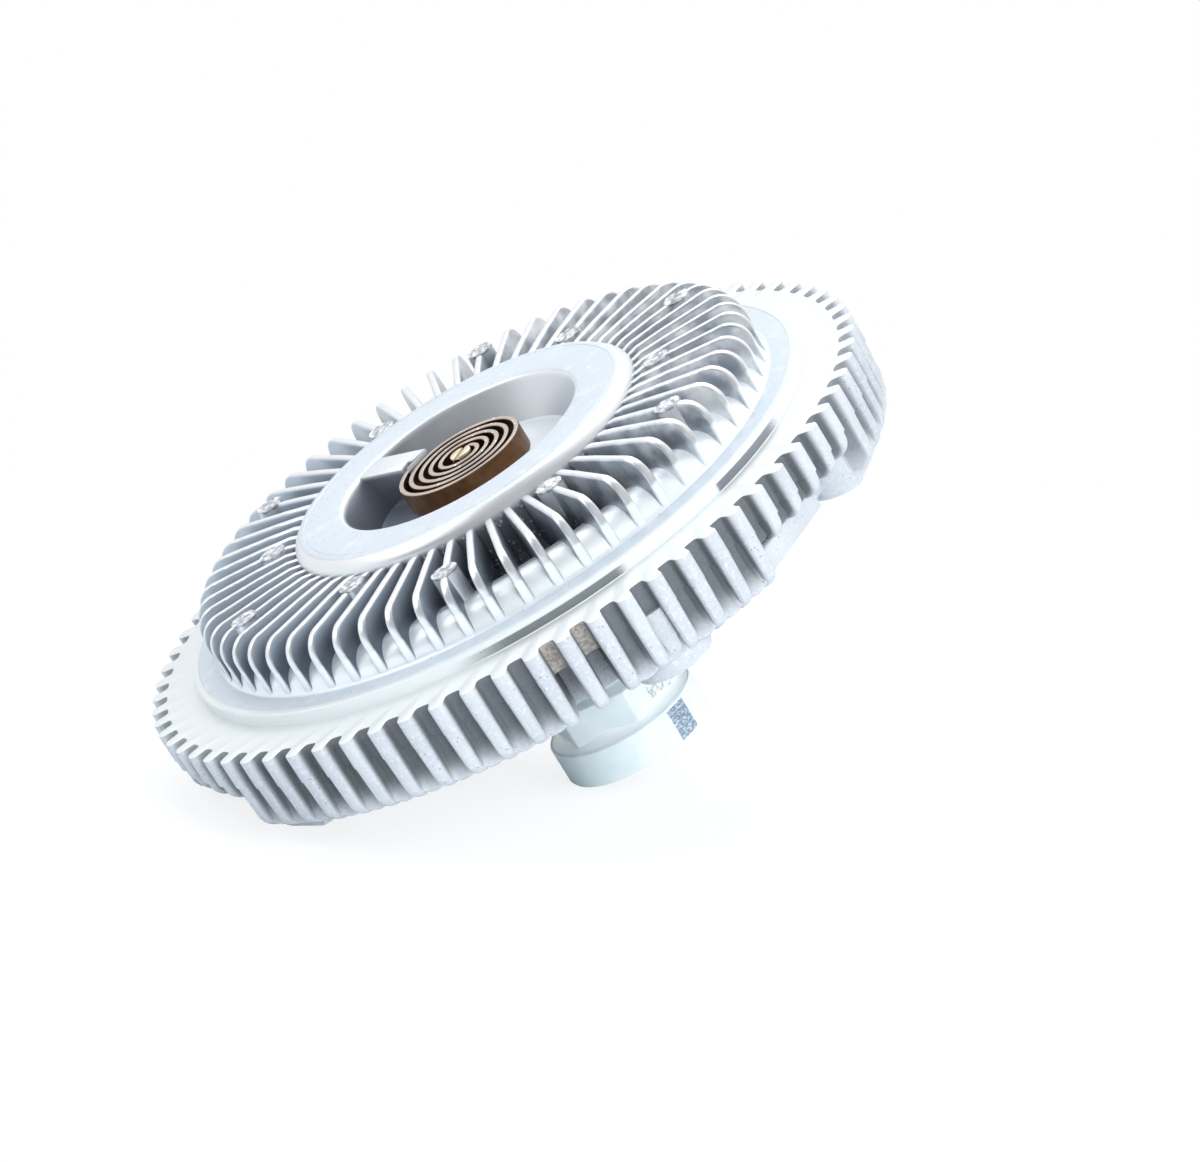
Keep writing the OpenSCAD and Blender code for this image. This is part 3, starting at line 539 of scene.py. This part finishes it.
brown_cut = mottle.ramp(0.35, 0.65).mix(rgb(0.24, 0.22, 0.20), rgb(0.44, 0.415, 0.385))
cast_grey = trimmed.mix(cast_grey, brown_cut)
cast_grey = machined.mix(cast_grey, rgb(0.78, 0.815, 0.83))
# Two stretches of the lip's outer wall, facing the camera and to its right, painted dark grey and made
# glossier: painted dark reflection
lip_painted_reflection = lip_wall * (blasted.around(-110, -97, -79, -76) + blasted.around(-56.5, -55.5, -41, -35))
blasted.set("Base Color", lip_painted_reflection.mix(cast_grey, rgb(0.34, 0.36, 0.385)))
blasted.set("Metallic", 0.2 + 0.1 * machined + 0.7 * lip_painted_reflection)
blasted.set("Roughness", 0.52 + 0.14 * blast - 0.3 * lip_painted_reflection - machined * (0.2 - 0.1 * rim_lines))
rough_cast = blast * 0.5 + mottle * 0.4 - pit * 0.6
blasted.bump((1 - machined) * rough_cast + machined * rim_lines * 0.12, 0.09, 0.6)
blasted.paint(rear_casting)
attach(rear_casting, "housing")
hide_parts("rear_housing")


# Front cover: a bright aluminium die casting with 60 thin radial fins, a low ridge between their outer
# ends and twelve ejector posts broken off rough. The flat ring round the coil pocket is turned bright,
# and five rings on the cover's inside mesh with the rotor's.
FINS = 60
fin_turn, fin_top, fin_tip_r, fin_root_r, fin_thick, fin_round = 3.2, 90.3, 80.2, 47.6, 2.1, 0.62
ring_top, ledge, cover_r = 92.8, 75.6, 86.3
LANDS = 5
land_r, land_step, land_half, land_foot, land_root = 52, 6, 1.2, 62.9, 71

cover = lathe(
    [(3.05, 84), (7.6, 84), (8, 83.6), (8.6, 82), (27.6, 82), (28.5, 82.5)]
    + arc(35.0, 91.2, 1.6, 160, 90, 5)
    + [(44.6, ring_top), (44.75, 92.65), (44.95, 92.65), (45.1, ring_top), (46.2, ring_top), (46.6, 92.65),
       (47.2, 92.1), (48.6, 90.9), (49.2, 89.8), (50.0, 79.5), (50.6, 77.8), (52.0, 77), (61.0, 77),
       (63.5, 78.2), (66.3, 80.6), (68.5, 81.6)]
    + arc(73.3, 75.9, 6.5, 105, 10, 10)
    + [(80.1, 76.2), (80.8, ledge), (cover_r, ledge), (cover_r, 70), (46, 70), (46, 71), (42, 71),
       (42, 87.5), (37.5, 87.5), (32.5, 78.5), (8, 78.5), (8, 75), (3.05, 75)], 240)
shelter(cover, lambda p: 0)
cover.verts.layers.float.new("broken")
for i in range(LANDS):
    inside, outside = land_r + land_step * i - land_half, land_r + land_step * i + land_half
    stamp(cover, as_mesh(lathe([(inside, land_foot), (outside, land_foot),
                                (outside, land_root), (inside, land_root)], 120)))

fin_outline = [(fin_root_r, 75.0), (fin_tip_r, 74.0)] + arc(fin_tip_r - 6, fin_top - 6, 6, 0, 90, 8) + [
    (60, fin_top), (52, fin_top - 0.2), (49.4, fin_top - 0.8), (fin_root_r, fin_top - 1.6)]
fin = as_mesh(blade(fin_outline, fin_thick, lambda p: p.x < fin_root_r + 0.1 or p.z < 75.5, fin_round,
                    lambda p: 1 + 0.45 * max(0.0, (fin_top - p.z) / 14)))
for i in range(FINS):
    stamp(cover, fin, fin_turn + i * 360 / FINS)

dice = random.Random(7)
post_r, post_top, post_foot = 3.7, 90.7, 76.0
outer_post, inner_post = (15.2, 70.0), (45.2, 56.0)
for k in range(6):
    for post_turn, post_at_r in (outer_post, inner_post):
        post = bmesh.new()
        bmesh.ops.create_cone(post, cap_ends=True, segments=28, radius1=post_r + 0.25, radius2=post_r - 0.1,
                              depth=post_top - post_foot)
        bmesh.ops.translate(post, vec=(0, 0, (post_top + post_foot) / 2), verts=post.verts)
        cap = [f for f in post.faces if f.calc_center_median().z > post_top - 0.1]
        for thickness in (0.5, 0.8, 0.9):
            bmesh.ops.inset_region(post, faces=cap, thickness=thickness, depth=0, use_even_offset=True)
        torn = post.verts.layers.float.new("broken")
        for v in post.verts:
            if v.co.z > post_top - 0.1:
                v[torn] = 1.0
                v.co.z -= dice.uniform(0, 0.5) if v.co.xy.length < post_r - 0.3 else dice.uniform(0.1, 0.3)
        stamp(cover, as_mesh(post), post_turn + 60 * k, (post_at_r, 0, 0))

coil_lug_turn, coil_lug_foot, coil_lug_top, slot_in_r, slot_out_r = 131.0, 81, 92.5, 16.55, 18.5
lug_plan = [(35.2, -4.5), (35.2, 4.5)] + arc(0, 0, slot_out_r, 14.1, 2, 4)
lug_plan += arc(0, 0, slot_in_r, 2, 14.5, 4) + [(15.95, 4.2), (15.95, -4.5)]
coil_lug = bmesh.new()
lug_face = coil_lug.faces.new([coil_lug.verts.new((x, y, coil_lug_foot)) for x, y in lug_plan])
extrude(coil_lug, lug_face, (0, 0, coil_lug_top - coil_lug_foot))
coil_lug_rim = [e for e in coil_lug.edges if all(v.co.z > coil_lug_top - 0.5 for v in e.verts)]
round_edges(coil_lug, coil_lug_rim, 0.25, 2)
stamp(cover, as_mesh(coil_lug), coil_lug_turn)
cover_casting = finished(cover, "cover_casting")

bright = Finish("bright_casting")
skin = bright.place.grain(700, 4, 0.6)
cloudy = bright.place.grain(60, 4)
sand = pits(bright, 750, 0.12, 0.4)
trough = bright.radius.ramp_mm(47.0, 49.0) * bright.radius.ramp_mm(69.0, 65.0)
trough = trough * bright.z.ramp_mm(84.5, 81.0)
ring_wall = bright.radius.ramp_mm(48.7, 49.1) * bright.radius.ramp_mm(51.5, 50.5)
trough = bright.place.maths("MAXIMUM", trough, ring_wall * bright.z.ramp_mm(90.0, 87.5))
ring_face = bright.z.ramp_mm(92.4, 92.6)
pocket = bright.radius.ramp_mm(34.8, 33.5) * bright.z.ramp_mm(92.5, 91.0)
ledge_face = bright.radius.ramp_mm(80.4, 80.8)
turned = bright.place.maths("MAXIMUM", ring_face, ledge_face)
ring_lines = turning(bright, 3000.0, rough=0.7)
sheltered = bright.attribute("shelter")
chipped = bright.z.ramp_mm(90.05, 90.25) * bright.radius.ramp_mm(50.0, 51.0) * (1 - sheltered)
chips = bright.place.node("TexVoronoi", {"feature": "F1"}, {"Vector": bright.place, "Scale": 600.0})
# Fin sides run from pale at their tops to dark slate at their roots: painted shade between the fins
fin_shade_depth = (bright.z + 0.004 * cloudy).ramp_mm(92.0, 83.0)
painted_fin_side = fin_shade_depth.mix(rgb(0.50, 0.555, 0.62), rgb(0.16, 0.19, 0.235))
# Light and dark blotches on the fin sides, faded in towards the right: painted reflections
glare_blotches = bright.place.grain(150, 2, 0.5).ramp(0.34, 0.68)
painted_reflections = glare_blotches.mix(rgb(0.36, 0.40, 0.45), rgb(0.95, 0.965, 0.98))
painted_fin_side = (0.8 * bright.x.ramp_mm(-15.0, 55.0)).mix(painted_fin_side, painted_reflections)
colour = sheltered.mix(rgb(0.80, 0.82, 0.85), painted_fin_side)
ridge = bright.radius.ramp_mm(64.5, 67.0) * bright.z.ramp_mm(83.0, 82.0) * (1 - sheltered)
colour = ridge.mix(colour, rgb(0.84, 0.885, 0.93))
colour = trough.mix(colour, sand.mix(rgb(0.21, 0.24, 0.285), rgb(0.76, 0.80, 0.84)))
# The coil pocket darkens from right to left, towards the coil lug: painted shade
pocket_painted_shade = (bright.x + 0.02 * cloudy).ramp_mm(-14.0, 26.0)
colour = pocket.mix(colour, pocket_painted_shade.mix(rgb(0.26, 0.285, 0.33), rgb(0.70, 0.735, 0.78)))
broken = bright.attribute("broken") * bright.z.ramp_mm(89.6, 90.1)
colour = broken.mix(colour, chips.ramp(0.3, 0.75).mix(rgb(0.84, 0.86, 0.89), rgb(0.40, 0.43, 0.47)))
scuff = bright.place.grain(170, 6, 0.7).ramp(0.5, 0.75)
colour = turned.mix(colour, scuff.mix(rgb(0.65, 0.715, 0.785), rgb(0.78, 0.82, 0.86)))
colour = (turned * pits(bright, 500, 0.06, 0.12)).mix(colour, rgb(0.30, 0.33, 0.37))
bright.set("Base Color", colour)
bright.set("Metallic", 0.75 - 0.4 * turned - 0.35 * (1 - turned) * ridge)
bright.set("Roughness", 0.26 + 0.12 * skin + 0.22 * trough + turned * (0.08 * ring_lines + 0.12))
rough_skin = skin * 0.4 + trough * sand + 2.0 * chipped * chips
bright.bump((1 - turned) * rough_skin + turned * ring_lines * 0.15, 0.12, 0.55)
bright.paint(cover_casting)
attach(cover_casting, "housing")
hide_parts("front_cover")


# Valve shaft: a yellow-passivated steel pin that turns in the cover. Its front end is slotted for the
# coil's inner end, and the two jaws are staked over it.
valve_r, valve_foot, slot_floor, valve_top, slot_turn, slot_half = 3.0, 71.3, 84.3, 91.7, 52.0, 0.98
staked_depth, staked_in = 0.5, 0.12
pin = bmesh.new()
bmesh.ops.create_cone(pin, cap_ends=True, segments=40, radius1=valve_r, radius2=valve_r,
                      depth=slot_floor - valve_foot)
bmesh.ops.translate(pin, vec=(0, 0, (slot_floor + valve_foot) / 2), verts=pin.verts)
jaw = bmesh.new()
bmesh.ops.create_cone(jaw, cap_ends=True, segments=40, radius1=valve_r, radius2=valve_r,
                      depth=valve_top - slot_floor)
bmesh.ops.bisect_plane(jaw, geom=jaw.verts[:] + jaw.edges[:] + jaw.faces[:], dist=0.001,
                       plane_co=(0, slot_half, 0), plane_no=(0, 1, 0), clear_inner=True)
bmesh.ops.holes_fill(jaw, edges=[e for e in jaw.edges if e.is_boundary], sides=0)
jaw_top = (valve_top - slot_floor) / 2
round_edges(jaw, [e for e in jaw.edges if all(v.co.z > jaw_top - 0.01 for v in e.verts)], 0.3, clamp=True)
for v in jaw.verts:
    if v.co.z > jaw_top - staked_depth:
        v.co.y -= staked_in
jaw = as_mesh(jaw)
for half_turn in (0, 180):
    stamp(pin, jaw, slot_turn + half_turn, (0, 0, (valve_top + slot_floor) / 2))
valve_pin = finished(pin, "valve_pin")
passivated = Finish("yellow_passivated_steel", Metallic=1.0)
film = passivated.place.grain(500, 4)
passivated.set("Base Color", film.ramp(0.3, 0.7).mix(rgb(0.70, 0.64, 0.40), rgb(0.82, 0.79, 0.62)))
passivated.set("Roughness", 0.22 + 0.2 * film)
passivated.bump(film, 0.02, 0.4)
passivated.paint(valve_pin)
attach(valve_pin, "valve")
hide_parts("valve_shaft")


# Bimetal coil: a strip of two bonded metals wound into a flat spiral, heat-tinted brown on its faces and
# pale on its cut edges. Its outer end lies in the cover's lug and its inner end in the shaft's slot.
coil_r, coil_pitch, strip_half, strip_low, strip_high = 17.525, 2.85, 0.675, 84.6, 91.2
coil_start, coil_from, coil_end, bend_sweep = 160.0, 137.0, 1852.0, 12
across_shaft = (3.5, 2.6, 1.2, 0.0, -1.4, -2.7)


def coil_path():
    """The strip's middle line in plan: inward along the spiral, then round a bend and across the shaft."""
    points = []
    steps = 232
    for i in range(steps + 1):
        a = coil_from + (coil_end - bend_sweep - coil_from) * i / steps
        r = coil_r - max(0.0, a - coil_start) / 360 * coil_pitch
        points.append(Vector((r * cos(radians(a)), r * sin(radians(a)))))
    along = Vector((cos(radians(coil_end)), sin(radians(coil_end))))
    return points + [along * r for r in across_shaft]


path = coil_path()
edge_round = 0.22
section = [(s * (strip_half - (edge_round if j else 0)), z) for s, pairs in (
    (-1, ((strip_low + edge_round, 0), (strip_high - edge_round, 0), (strip_high, 1))),
    (1, ((strip_high, 1), (strip_high - edge_round, 0), (strip_low + edge_round, 0), (strip_low, 1))),
    (-1, ((strip_low, 1),))) for z, j in pairs]


def across(i):
    """Matrix that sets the strip's section square to its path at one of its points."""
    before, after = path[max(0, i - 1)], path[min(len(path) - 1, i + 1)]
    ahead = (after - before).normalized()
    return Matrix(((ahead.y, ahead.x, 0, path[i].x), (-ahead.x, ahead.y, 0, path[i].y),
                   (0, 0, 1, 0), (0, 0, 0, 1)))


strip = bmesh.new()
wound_layer = strip.verts.layers.float.new("wound")
end_verts = [strip.verts.new((x, 0, z)) for x, z in section]
end_face = strip.faces.new(end_verts)
bmesh.ops.transform(strip, matrix=across(0), verts=end_verts)
for i in range(1, len(path)):
    new = bmesh.ops.extrude_face_region(strip, geom=[end_face])["geom"]
    if i > 1:
        bmesh.ops.delete(strip, geom=[end_face], context="FACES_ONLY")
    end_verts = [v for v in new if isinstance(v, bmesh.types.BMVert)]
    end_face = next(f for f in new if isinstance(f, bmesh.types.BMFace))
    bmesh.ops.transform(strip, matrix=across(i) @ across(i - 1).inverted(), verts=end_verts)
    for v in end_verts:
        v[wound_layer] = min(1.0, i / (len(path) - 1 - len(across_shaft)))
bimetal_strip = finished(strip, "bimetal_strip", 40)
bimetal = Finish("heat_tinted_bimetal", Metallic=1.0)
cut_edge = bimetal.z.ramp_mm(91.0, 91.12)
heat = bimetal.place.grain(130, 4)
scratch = bimetal.place.grain(900, 3, stretch=(1.0, 1.0, 0.1))
brown = heat.ramp(0.3, 0.7).mix(rgb(0.10, 0.047, 0.021), rgb(0.20, 0.105, 0.053))
# White specks along the strip's top cut edge: painted highlights
painted_glints = cut_edge * pits(bimetal, 420, 0.1, 0.18)
bimetal.set("Base Color", painted_glints.mix(cut_edge.mix(brown, rgb(0.50, 0.445, 0.405)), rgb(0.93, 0.93, 0.92)))
bimetal.set("Roughness", 0.34 + 0.2 * scratch)
bimetal.bump(scratch, 0.02, 0.5)
bimetal.paint(bimetal_strip)
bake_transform(bimetal_strip)
# The strip winds evenly along its length; each point's share of the way to the inner end is read back into a
# list
wound = [0.0] * len(bimetal_strip.data.vertices)
bimetal_strip.data.attributes["wound"].data.foreach_get("value", wound)
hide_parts("bimetal_coil")


# Studio: the clutch lies on a white table, on its nut's edge and its rim, under soft lamps.
# The table is seen only from above, and its white reaches the edge of the picture.
rest_turn, rest_slope, nut_edge = 191.5, 31.6, (20.5, 0.6)
table_r, sheet_full_r, sheet_end_r = 6.0, 0.25, 0.45
lean = Vector((cos(radians(rest_turn)), sin(radians(rest_turn)), 0))
table_normal = -lean * sin(radians(rest_slope)) + Vector((0, 0, cos(radians(rest_slope))))
table_point = (lean * nut_edge[0] + Vector((0, 0, nut_edge[1]))) * MM
table_turn = table_normal.to_track_quat("Z", "Y").to_matrix().to_4x4()
table = bmesh.new()
bmesh.ops.create_circle(table, cap_ends=True, segments=64, radius=table_r)
bmesh.ops.transform(table, matrix=Matrix.Translation(table_point) @ table_turn, verts=table.verts)
table_mesh = bpy.data.meshes.new("table")
table.to_mesh(table_mesh)
table.free()
white_table = bpy.data.objects.new("table", table_mesh)
scene.collection.objects.link(white_table)
paper = Finish("white_table", Roughness=0.9, Base_Color=rgb(0.85, 0.9, 0.94))
paper.paint(white_table)
lights = paper.tree.nodes.new("ShaderNodeLightPath")
lit = paper.place.node("Emission", {}, {"Strength": 1.10})
seen = paper.place.node("MixShader", {}, {
    0: 0.72 * Field(lights.outputs["Is Camera Ray"]), 1: Field(paper.shader.outputs[0]), 2: lit})
from_below = Field(paper.tree.nodes.new("ShaderNodeNewGeometry").outputs["Backfacing"])
offset = paper.place.node("VectorMath", {"operation": "DISTANCE"}, {0: paper.place, 1: (0, 0, 0.05)}, out=1)
hidden = paper.place.maths("MAXIMUM", from_below, offset.ramp(sheet_full_r, sheet_end_r))
sheet = hidden.node("MixShader", {}, {
    0: hidden, 1: seen, 2: Field(paper.tree.nodes.new("ShaderNodeBsdfTransparent").outputs[0])})
paper.tree.links.new(sheet.socket, paper.tree.nodes["Material Output"].inputs["Surface"])

eye, elevation, roll, focal = Vector((0.0130, -1.5194, 0.5940)), 19.95, -31.75, 190.26
camera = bpy.data.objects.new("camera", bpy.data.cameras.new("camera"))
camera.data.lens = focal
camera.data.sensor_width = 36.0
camera.data.clip_end = 50.0
camera.matrix_world = (Matrix.Translation(eye) @ Matrix.Rotation(radians(90 - elevation), 4, "X")
                       @ Matrix.Rotation(radians(roll), 4, "Z"))
scene.collection.objects.link(camera)
scene.camera = camera

up = camera.matrix_world.to_3x3() @ Vector((0, 1, 0))
right = camera.matrix_world.to_3x3() @ Vector((1, 0, 0))
back = camera.matrix_world.to_3x3() @ Vector((0, 0, 1))
middle = Vector((0, 0, 0.065))
for name, place, size, power, in_metal in (
        ("top_softbox", up * 1.1 - back * 0.2 - right * 0.1, 1.0, 6.5, True),
        ("left_softbox", -right * 1.0 + up * 0.6 + back * 0.4, 0.7, 3.5, True),
        ("right_softbox", right * 1.0 + up * 0.5 + back * 0.3, 0.7, 4.0, False),
        ("front_softbox", back * 1.1 + up * 0.15 + right * 0.45, 0.8, 13.0, False)):
    lamp = bpy.data.lights.new(name, "AREA")
    lamp.size = size
    lamp.energy = power
    lamp.color = (0.95, 0.985, 1.0)
    box = bpy.data.objects.new(name, lamp)
    box.matrix_world = Matrix.Translation(middle + place) @ place.to_track_quat("Z", "Y").to_matrix().to_4x4()
    box.visible_glossy = in_metal
    scene.collection.objects.link(box)

# White all round the table, and the dark of the room behind the camera and at the right
world = bpy.data.worlds.new("studio")
world.use_nodes = True
scene.world = world
sky = world.node_tree.nodes["Background"]
sky.inputs["Color"].default_value = rgb(1, 1, 1)
path_kind = world.node_tree.nodes.new("ShaderNodeLightPath")
by_camera = Field(path_kind.outputs["Is Camera Ray"])
by_metal = Field(path_kind.outputs["Is Glossy Ray"])
way = Field(world.node_tree.nodes.new("ShaderNodeTexCoord").outputs["Generated"])
behind = way.node("VectorMath", {"operation": "DOT_PRODUCT"}, {0: way, 1: back}, out=1).ramp(0.0, 0.7)
beside = way.node("VectorMath", {"operation": "DOT_PRODUCT"}, {0: way, 1: right}, out=1).ramp(0.75, 0.95)
dark = way.maths("MAXIMUM", behind, beside)
strength = 0.45 + by_metal * (0.60 - 0.80 * dark)
world.node_tree.links.new((by_camera + strength * (1 - by_camera)).socket, sky.inputs["Strength"])
